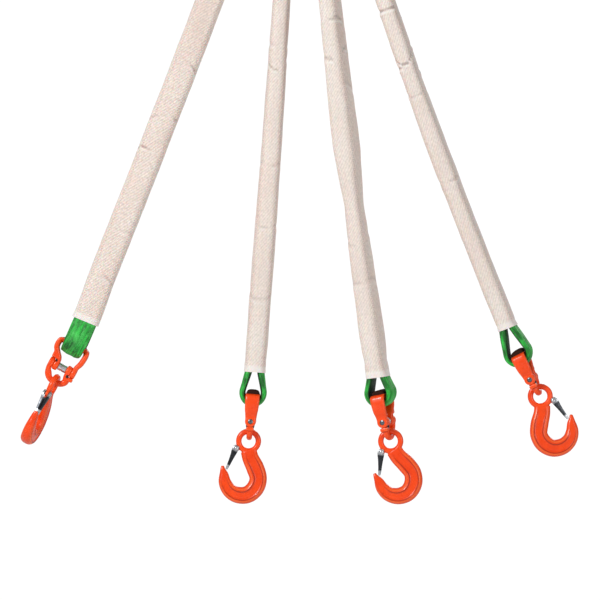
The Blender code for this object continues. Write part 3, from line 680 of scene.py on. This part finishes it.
def latch():
    """A folded channel hung from its rivet, open towards the hook's inside, its back notched at the top."""
    stations = [  # drop below the rivet, half width, back, front
        (-5.6, 7.0, 2.2, -1.4), (-4.9, 7.6, 4.6, -3.2), (-3.2, 7.7, 6.2, -4.2), (0.0, 7.7, 7.3, -4.9),
        (3.0, 7.7, 7.4, -5.0), (8.0, 7.4, 6.8, -4.8), (14.0, 6.9, 5.4, -4.2), (22.0, 6.2, 4.2, -3.6),
        (30.0, 5.6, 3.3, -3.2), (LATCH_LENGTH - 8.0, 5.2, 2.8, -3.0), (LATCH_LENGTH - 2.0, 4.9, 2.0, -2.4),
        (LATCH_LENGTH, 4.2, 1.6, -1.8)]
    wall, rings = 1.45, []
    for drop, half, back, front in stations:
        rib, corner = half - wall, 1.1
        outer = [(half, front), (half, back - corner), (half - 0.32 * corner, back - 0.32 * corner),
                 (half - corner, back)]
        inner = [(rib - 0.5, back - wall), (rib, back - wall - 0.5), (rib, front)]
        section = outer + [(-u, v) for u, v in outer[::-1]] + [(-u, v) for u, v in inner[::-1]] + inner
        rings.append([(-v, u, -drop) for u, v in section])
    bore = turned("bore", [(-20.0, LATCH_HOLE), (20.0, LATCH_HOLE)], "Y")
    notch = skin("notch", [[(x, u, v) for u, v in oval(4.4, 10.0, 28, 3.0)] for x in (-20.0, 0.4)])
    return cut_by(placed(skin("latch", rings)), [bore, notch])


def latch_spring():
    """Two turns of wire round the rivet and the leg that lies in the latch."""
    wire, turns, radius, steps = 0.36, 2.0, 3.55, 56
    line = []
    for i in range(steps + 1):
        share = i / steps
        a = math.pi * (1.0 + 2 * turns * share)
        line.append((radius * math.cos(a), 4.62 + 0.78 * share, radius * math.sin(a)))
    foot = [(-3.75, 4.64, -2.5), (-3.9, 4.64, -5.0), (-3.6, 4.64, -9.0), (-3.1, 4.64, -13.0)]
    line = foot[::-1] + line
    rings = []
    for i, point in enumerate(line):
        ahead = Vector(line[min(i + 1, len(line) - 1)]) - Vector(line[max(i - 1, 0)])
        side = ahead.cross(Vector((0, 1, 0))).normalized()
        up = side.cross(ahead).normalized()
        rings.append([Vector(point) + side * u + up * v for u, v in oval(wire, wire, 10)])
    return skin("latch_spring", rings)


# ---------------------------------------------------------------- roundsling and sleeve


def smooth(share):
    """An even rise from 0 to 1 that starts and ends flat."""
    share = min(max(share, 0.0), 1.0)
    return share * share * (3 - 2 * share)


def bite_angle():
    """How far past its half turn each bight goes before its strands leave it."""
    reach = math.hypot(STRAND_OFFSET, STRANDS_MEET)
    return math.asin(BIGHT_RADIUS / reach) - math.atan2(STRAND_OFFSET, STRANDS_MEET)


class LegLine:
    """The middle line of a leg between the centres of its two eyes, and the way its flat side turns."""

    def __init__(self, top, foot, top_bar, foot_bar, bulge, widths):
        self.top, self.chord = top, foot - top
        self.length, self.bars = self.chord.length, (top_bar, foot_bar)
        self.bulge, self.widths = bulge, widths
        self.ends = [(self.chord - bar * self.chord.dot(bar)).normalized() for bar in self.bars]
        self.bends = [end - self.chord.normalized() for end in self.ends]
        self.sideways = Vector((-self.chord.z, 0.0, self.chord.x)).normalized()

    def at(self, share):
        """A straight line that bulges to -X and leaves each eye square to the eye's bar."""
        point = self.top + self.chord * share
        for bend, away in zip(self.bends, (share * self.length, (share - 1) * self.length)):
            point += bend * (away * max(1 - abs(away) / END_REACH, 0.0) ** 2)
        return point - Vector((self.bulge * math.sin(math.pi * share), 0, 0))

    def frame(self, share):
        """(point, direction down the leg, across the flat side, through the thickness)"""
        down = (self.at(min(share + 0.01, 1.0)) - self.at(max(share - 0.01, 0.0))).normalized()
        if share in (0.0, 1.0):
            down = self.ends[int(share)]
        across = self.bars[0].slerp(self.bars[1], smooth(share / TWIST_SHARE))
        across = (across - down * across.dot(down)).normalized()
        return self.at(share), down, across, across.cross(down)

    def girth_frame(self, share):
        """(point, across, through, strand offset), also between each bight and where the strands meet."""
        near = min(share, 1 - share) * self.length
        if near >= STRANDS_MEET:
            point, _, across, through = self.frame(share)
            return point, across, through, STRAND_OFFSET
        end = 0.0 if share < 0.5 else 1.0
        bite = bite_angle()
        start = BIGHT_RADIUS * math.sin(bite)
        mixed = (near - start) / (STRANDS_MEET - start)
        eye, down, across, through = self.frame(end)
        leave = eye + down * (start if share < 0.5 else -start)
        point, _, far_across, far_through = self.frame(abs(end - STRANDS_MEET / self.length))
        offset = BIGHT_RADIUS * math.cos(bite)
        return (leave.lerp(point, mixed), across.lerp(far_across, mixed), through.lerp(far_through, mixed),
                offset + (STRAND_OFFSET - offset) * mixed)

    def widen(self, offset, share, most=9.0):
        """An offset from the middle line, stretched sideways in the fan's plane to the leg's width there."""
        shares, widths = zip(*self.widths)
        factor = min(float(np.interp(share, shares, widths)), most)
        return offset + self.sideways * (offset.dot(self.sideways) * (factor - 1))


def perimeter(ring):
    """Distances round a ring from its first point back to it."""
    points = np.vstack([ring, ring[:1]])
    return np.concatenate([[0.0], np.cumsum(np.linalg.norm(np.diff(points, axis=0), axis=1))])


def puckers(u, v, seed):
    """Lengthwise gathers of a cloth, from -1 to 1, at a distance across and along it in millimetres."""
    wander = 3.0 * noise.noise(Vector((v * 0.028, seed, 0.0)))
    total = 0.45 * math.sin(u * 0.62 + wander + seed)
    total += 0.35 * math.sin(u * 1.07 + 2.2 * noise.noise(Vector((v * 0.045, seed, 7.0))) + 2 * seed)
    return total + 0.5 * noise.noise(Vector((u * 0.12, v * 0.05, seed)))


def roundsling(name, line, seed):
    """An endless flat loop: two strands side by side in the sleeve and a bight round the bar at each end."""
    bite, count = bite_angle(), 52
    bight_steps, meet_steps, run_steps = 60, 24, 60
    start = BIGHT_RADIUS * math.sin(bite)
    stations = []  # middle, across, out, half width, half thickness, how gathered, how much painted shade inside, share
    for end in (0.0, 1.0):
        point, down, across, through = line.frame(end)
        side = 1 if end else -1
        for i in range(bight_steps + 1):
            turn = -bite + (math.pi + 2 * bite) * i / bight_steps
            out = through * (side * math.cos(turn)) + down * (side * math.sin(turn))
            narrow = max(math.sin(turn), 0.0)
            half = STRAP_HALF_WIDTH + (BIGHT_HALF_WIDTH - STRAP_HALF_WIDTH) * narrow
            stations.append((point + out * BIGHT_RADIUS, across, out, half, BIGHT_HALF_THICK, 1.0, 1.0, end))
        far = 1.0 - end
        meet = STRANDS_MEET / line.length
        runs = [(end, 1.0 / meet_steps * i) for i in range(1, meet_steps + 1)]
        runs += [(None, share) for share in np.linspace(meet, 1 - meet, run_steps)[1:-1]]
        runs += [(far, 1.0 / meet_steps * i) for i in range(meet_steps, 0, -1)]
        for near_end, amount in runs:
            strand = -1 if end else 1
            if near_end is None:
                share = float(amount if end == 0.0 else 1 - amount)
                here, _, here_across, here_through = line.frame(share)
                out = here_through * strand
                stations.append((here + out * STRAND_OFFSET, here_across, out, STRAP_HALF_WIDTH - 0.8,
                                 STRAP_HALF_THICK, 0.35, 0.4, share))
                continue
            away = start + (STRANDS_MEET - start) * amount
            share = abs(near_end - away / line.length)
            here, here_across, here_through, offset = line.girth_frame(share)
            eye_down = line.frame(near_end)[1] * (1 if near_end else -1)
            tilt = (1 - smooth((amount - 0.7) / 0.3)) * bite
            out = (here_through * (strand * math.cos(tilt)) - eye_down * math.sin(tilt)).normalized()
            grown = BIGHT_HALF_THICK + (STRAP_HALF_THICK - BIGHT_HALF_THICK) * smooth(amount * 1.6)
            stations.append((here + here_through * (strand * offset), here_across.normalized(), out,
                             STRAP_HALF_WIDTH, grown, 1.0 - 0.5 * amount, 1.0 - 0.4 * amount, share))
    along = [0.0]
    for i in range(len(stations)):
        along.append(along[-1] + (stations[(i + 1) % len(stations)][0] - stations[i][0]).length)
    total = along[-1]
    rings, across_rows, inside = [], [], []
    for i, (middle, across, out, half, thick, gather, shade, share) in enumerate(stations):
        turn = 2 * math.pi * along[i] / total
        centre = line.at(share)
        ring, shades = [], []
        for u, v in oval(half, thick, count, 3.0):
            wave = puckers(u, 150.0 * math.sin(turn) + 60.0 * math.cos(2 * turn), seed)
            bulge = gather * 1.15 * wave * (1 if v >= 0 else 0.4)
            lift = v + math.copysign(bulge, v) * min(abs(v) / thick * 1.2, 1.0)
            point = middle + across * (u * (1 + 0.02 * gather * wave)) + out * lift
            ring.append(tuple(centre + line.widen(point - centre, share, 1.0)))
            # How strongly painted shade darkens this point, on the inner face only.
            shades.append(shade * smooth((-v / thick - 0.1) / 0.6) if v < 0 else 0.0)
        rings.append(ring)
        across_rows.append(perimeter(np.array(ring)))
        inside.append(shades)
    return skin(name, rings, loop=True, uv=(across_rows, along), floats=(("inside", inside),))


def sleeve(name, line, bare, creases, seed):
    """A flat woven tube round both strands, open at both ends, with a folded hem at each."""
    first, last = SLEEVE_TOP_GAP / line.length, 1 - bare / line.length
    rows, count = 210, 56
    outside, inside, along, folds, bends, hems = [], [], [], [], [], []
    length = (last - first) * line.length
    for share in np.linspace(first, last, rows):
        share = float(share)
        point, across, through, offset = line.girth_frame(share)
        from_end = min(share - first, last - share) * line.length
        hem = smooth((HEM - from_end) / 2.0)
        thick = offset + STRAP_HALF_THICK + SLEEVE_PLAY * (1 - 0.8 * hem) + SLEEVE_WALL + 0.5
        wide = SLEEVE_HALF_WIDTH - 0.3
        run = share * line.length
        outer, inner, fold_row, crease_shade_row = [], [], [], []
        for u, v in oval(wide, thick, count, 3.1):
            slack = 0.55 * noise.noise(Vector((u * 0.05, run * 0.016, seed + math.copysign(5.0, v))))
            slack += 0.25 * noise.noise(Vector((u * 0.16, run * 0.05, seed + math.copysign(9.0, v))))
            dent = 0.0
            face = 1 - 0.6 * (abs(u) / wide) ** 4
            line_shade = 0.0
            for at, depth, slant, spread in creases:
                patchy = noise.noise(Vector((u * 0.05, at * 40.0, seed + math.copysign(3.0, v))))
                reach = smooth(0.6 + 1.5 * patchy)
                d = (run - at * line.length - slant * u - 0.012 * u * u + 0.04 * v * v / spread) / spread
                dent += depth * face * reach * (math.exp(-d * d) - 0.5 * math.exp(-((d - 1.9) ** 2)))
                line_shade += depth * reach * (math.exp(-4.0 * d * d) - 0.6 * math.exp(-3.0 * (d - 0.9) ** 2))
            swell = slack * 1.4 - dent * 0.75 + 0.45 * hem
            away = (across * (u / wide) * 0.5 + through * (v / thick)).normalized()
            wavy = 1 + 0.014 * noise.noise(Vector((run * 0.012, seed * 3.0, math.copysign(4.0, u))))
            body = line.widen(across * (u * wavy) + through * v, share)
            wall = SLEEVE_WALL + 0.5 * hem
            outer.append(tuple(point + body + away * swell))
            inner.append(tuple(point + body + away * (swell - wall)))
            edge = abs(abs(u) - wide) if abs(v) > 0.5 * thick else -(thick - abs(v)) * 0.3
            fold_row.append(math.exp(-max(edge + 2.0, 0.0) / 6.0))
            # How much painted shade (positive) or painted highlight (negative) the creases put here.
            crease_shade_row.append(line_shade)
        outside.append(outer)
        inside.append(inner)
        along.append(run)
        folds.append(fold_row)
        bends.append(crease_shade_row)
        hems.append([hem] * count)
    rings = outside + inside[::-1]
    around = [perimeter(np.array(ring)) for ring in rings]
    distance = along + [2 * along[-1] - a + SLEEVE_WALL for a in along[::-1]]
    distance.append(distance[-1] + SLEEVE_WALL)
    floats = (("fold", folds + folds[::-1]), ("bend", bends + bends[::-1]), ("hem", hems + hems[::-1]))
    mesh = skin(name, rings, loop=True, uv=(around, distance), floats=floats)
    girth = float(np.mean([ring[-1] for ring in around[:rows]]))
    return mesh, girth * MM, length * MM


# ---------------------------------------------------------------- placing


def at(joint):
    return Vector(JOINTS[joint]["pos_m"])


def axis(joint):
    return Vector(JOINTS[joint]["axis"]).normalized()


def frame_of(x, y, z, origin):
    made = Matrix((x, y, z)).transposed().to_4x4()
    made.translation = origin
    return made


def coupling_frame(pin, bar, along):
    """A coupling's frame, from the centres of its pin and its saddle's bar and the way its pin points."""
    z = (bar - pin).normalized()
    x = (along - z * along.dot(z)).normalized()
    return frame_of(x, z.cross(x), z, pin)


def hook_frame(joint, latch_joint):
    """The hook's frame, from the bar that carries it and from its latch's rivet and axis."""
    y = -axis(latch_joint)
    rivet = (BOSS_AT[0], BOSS_AT[1] - EYE_DROP)
    reach = math.hypot(*rivet)
    a, c = rivet[0] / reach, rivet[1] / reach
    v = (at(latch_joint) - at(joint)).normalized()
    w = y.cross(v)
    return frame_of(v * a + w * c, y, v * c - w * a, at(joint))


def in_metres(mesh):
    mesh.transform(Matrix.Scale(MM, 4))
    mesh.shade_smooth()
    mesh.set_sharp_from_angle(angle=SHARP_ANGLE)
    return mesh


def piece(name, mesh, material, place, node):
    """A visible piece that stands for a node and rides on that node's body."""
    obj = placed(mesh, name)
    if not mesh.materials:
        mesh.materials.append(material)
    obj.matrix_world = place
    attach(obj, frame["nodes"][node]["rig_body"])
    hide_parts(node)
    return obj


ORANGE, GREEN, BEIGE = "orange_powder_coat", "green_polyester", "beige_sleeve_fabric"
ZINC, STEEL = "zinc_plate", "load_pin_steel"
finish = {
    "orange": orange_coat("orange_coat"),
    # The web and chain halves carry spots of painted shade for small holes, and the web's saddle top is
    # painted near black as shade.
    "web": orange_coat("orange_web_coat", ((-17.0, -10.6, 8.0), (-17.0, 10.6, 8.0)), 52.6),
    "chain": orange_coat("orange_chain_coat", ((16.5, -8.2, -10.0), (16.5, 8.2, -10.0))),
    # The latch's slot is painted shade, and its lower span is a painted dark reflection.
    "latch": zinc("latch_zinc", 0.12, (-24.0, 11.5, 2.6), (8.0 - LATCH_LENGTH, -4.0)),
    "green": green_polyester("green_cloth"),
    "beige": sleeve_cloth("sleeve_cloth"),
    "zinc": zinc("bright_zinc"),
    "steel": zinc("dull_steel", 0.58),
}
kinds = {
    "web_half": (web_half(), "web", ORANGE),
    "chain_half": (chain_half(), "chain", ORANGE),
    "load_pin": (turned("load_pin", both_ways([(PIN_HALF, PIN_RADIUS - 1.9), (PIN_HALF - 0.9, PIN_RADIUS)]),
                        count=36), "steel", STEEL),
    "bush": (turned("bush", both_ways([(BUSH_HALF, PIN_HOLE), (BUSH_HALF, BUSH_RADIUS - 0.7),
                                       (BUSH_HALF - 0.7, BUSH_RADIUS), (1.4, BUSH_RADIUS),
                                       (0.8, BUSH_RADIUS - 0.6)]), count=36, loop=True), "zinc", ZINC),
    "hook": (hook(), "orange", ORANGE),
    "latch": (latch(), "latch", ZINC),
    "latch_pin": (turned("latch_pin", both_ways([(9.2, 1.2), (9.0, 2.4), (8.5, 3.3), (8.0, 3.7),
                                                 (8.0, RIVET_RADIUS)]), "Y"), "zinc", ZINC),
    "latch_spring": (latch_spring(), "steel", ZINC),
}
for made, _, _ in kinds.values():
    in_metres(made)


def hardware(node, kind, place):
    """The visible piece of one kind of hardware for a node."""
    mesh, look, slot = kinds[kind]
    piece(node + "_look", mesh, finish[look], place, node)


def add_leg(leg, shape, seed):
    """One leg: its two couplings, its hook and latch, its roundsling and its sleeve."""
    upper_pin, top = at(leg + "_upper_coupling_fold"), at(leg + "_textile_swing")
    lower_pin, foot = at(leg + "_lower_coupling_fold"), at(leg + "_lower_web_swing")
    top_bar = axis(leg + "_upper_coupling_fold") * shape["side"]
    foot_bar = axis(leg + "_lower_coupling_fold")
    for where, pin, bar, along in (("upper", upper_pin, top, -top_bar),
                                   ("lower", lower_pin, foot, foot_bar * shape["about"])):
        place = coupling_frame(pin, bar, along)
        for kind in ("web_half", "chain_half", "load_pin", "bush"):
            hardware(f"{leg}_{where}_{kind}", kind, place)
    place = hook_frame(leg + "_hook_swing", leg + "_latch_press")
    rivet = place @ Matrix.Translation(Vector((BOSS_AT[0], 0.0, BOSS_AT[1] - EYE_DROP)) * MM)
    tilt = rivet @ Matrix.Rotation(math.radians(-LATCH_LEAN), 4, "Y")
    hardware(leg + "_hook", "hook", place)
    hardware(leg + "_latch_pin", "latch_pin", rivet)
    hardware(leg + "_latch", "latch", tilt)
    hardware(leg + "_latch_spring", "latch_spring", tilt)

    line = LegLine(top / MM, foot / MM, top_bar, foot_bar, shape["bulge"], shape["widths"])
    here = Matrix.Identity(4)
    strap = in_metres(roundsling(leg + "_strap", line, seed))
    strap = piece(leg + "_roundsling_look", strap, finish["green"], here, leg + "_roundsling")
    tube, girth, length = sleeve(leg + "_tube", line, shape["bare"], shape["creases"], seed)
    tube = piece(leg + "_sleeve_look", in_metres(tube), finish["beige"], here, leg + "_sleeve")


for number, (leg, shape) in enumerate(LEGS.items()):
    add_leg(leg, shape, FIRST_SEED + SEED_STEP * number)

master_mesh = in_metres(oblong_link("master_link", MASTER_INSIDE, MASTER_BAR, "XZ"))
piece("master_link_look", master_mesh, finish["orange"], Matrix.Identity(4), "master_link")
sub_mesh = in_metres(oblong_link("sub_link", SUB_INSIDE, SUB_BAR, "YZ"))
hang = Matrix.Translation((0.0, 0.0, (MASTER_BAR / 2 + LINK_PLAY) * MM))
for name in ("sub_link_left", "sub_link_right"):
    x = axis(name + "_swing") * (1 if name.endswith("left") else -1)
    y = Vector((0, 1, 0))
    place = frame_of(x, y, x.cross(y), at(name + "_swing")) @ hang
    piece(name + "_look", sub_mesh, finish["orange"], place, name)


# ---------------------------------------------------------------- stage, light and camera


def stage():
    s = Shade("floor_paint", Roughness=0.9, Specular_IOR_Level=0.1)
    place = s.node("TexCoord").outputs["Object"]
    tint = s.spread(s.noise(place, 3.0, 4.0), 0.3, 0.7)
    s.set(Base_Color=s.mix(tint, (0.86, 0.86, 0.86), (0.90, 0.90, 0.89)))
    rings = [[(FLOOR_RADIUS * share * math.cos(a), FLOOR_RADIUS * share * math.sin(a), level)
              for a in np.linspace(0, 2 * math.pi, 96, endpoint=False)]
             for share, level in ((1.0, FLOOR_LEVEL - 0.02), (1.0, FLOOR_LEVEL), (0.02, FLOOR_LEVEL))]
    mesh = skin("floor", rings)
    mesh.materials.append(s.material)
    floor = placed(mesh)

    world = bpy.data.worlds.new("studio")
    bpy.context.scene.world = world
    world.use_nodes = True
    nodes, links = world.node_tree.nodes, world.node_tree.links
    light = nodes["Background"]
    light.inputs["Color"].default_value = (1.0, 1.0, 1.0, 1.0)
    light.inputs["Strength"].default_value = AMBIENT
    seen = nodes.new("ShaderNodeBackground")
    seen.inputs["Color"].default_value = (1.0, 1.0, 1.0, 1.0)
    seen.inputs["Strength"].default_value = BACKDROP
    choose = nodes.new("ShaderNodeMixShader")
    path = nodes.new("ShaderNodeLightPath")
    links.new(path.outputs["Is Camera Ray"], choose.inputs[0])
    links.new(light.outputs[0], choose.inputs[1])
    links.new(seen.outputs[0], choose.inputs[2])
    links.new(choose.outputs[0], nodes["World Output"].inputs["Surface"])


def softbox(name, place, target, size, power):
    data = bpy.data.lights.new(name, "AREA")
    data.shape = "RECTANGLE"
    data.size, data.size_y = size
    data.energy = power
    obj = placed(data)
    obj.location = place
    obj.rotation_mode = "QUATERNION"
    obj.rotation_quaternion = (Vector(target) - Vector(place)).to_track_quat("-Z", "Y")


def camera():
    data = bpy.data.cameras.new("camera")
    data.lens = VIEW_LENS
    data.sensor_width = 36.0
    data.clip_start, data.clip_end = 0.1, 100.0
    obj = placed(data)
    obj.location = (VIEW_CENTRE[0], -VIEW_DISTANCE, VIEW_CENTRE[1])
    obj.rotation_euler = (math.pi / 2, 0.0, 0.0)
    bpy.context.scene.camera = obj


stage()
softbox("key", (-2.6, -3.2, 0.6), (0.0, 0.0, -1.1), (0.9, 0.9), 120.0)
softbox("fill", (2.8, -3.0, -0.9), (0.0, 0.0, -1.0), (1.8, 1.8), 38.0)
softbox("back", (1.5, 3.2, 0.8), (0.0, 0.0, -1.0), (1.8, 1.8), 40.0)
camera()
bpy.context.scene.view_settings.view_transform = "Standard"
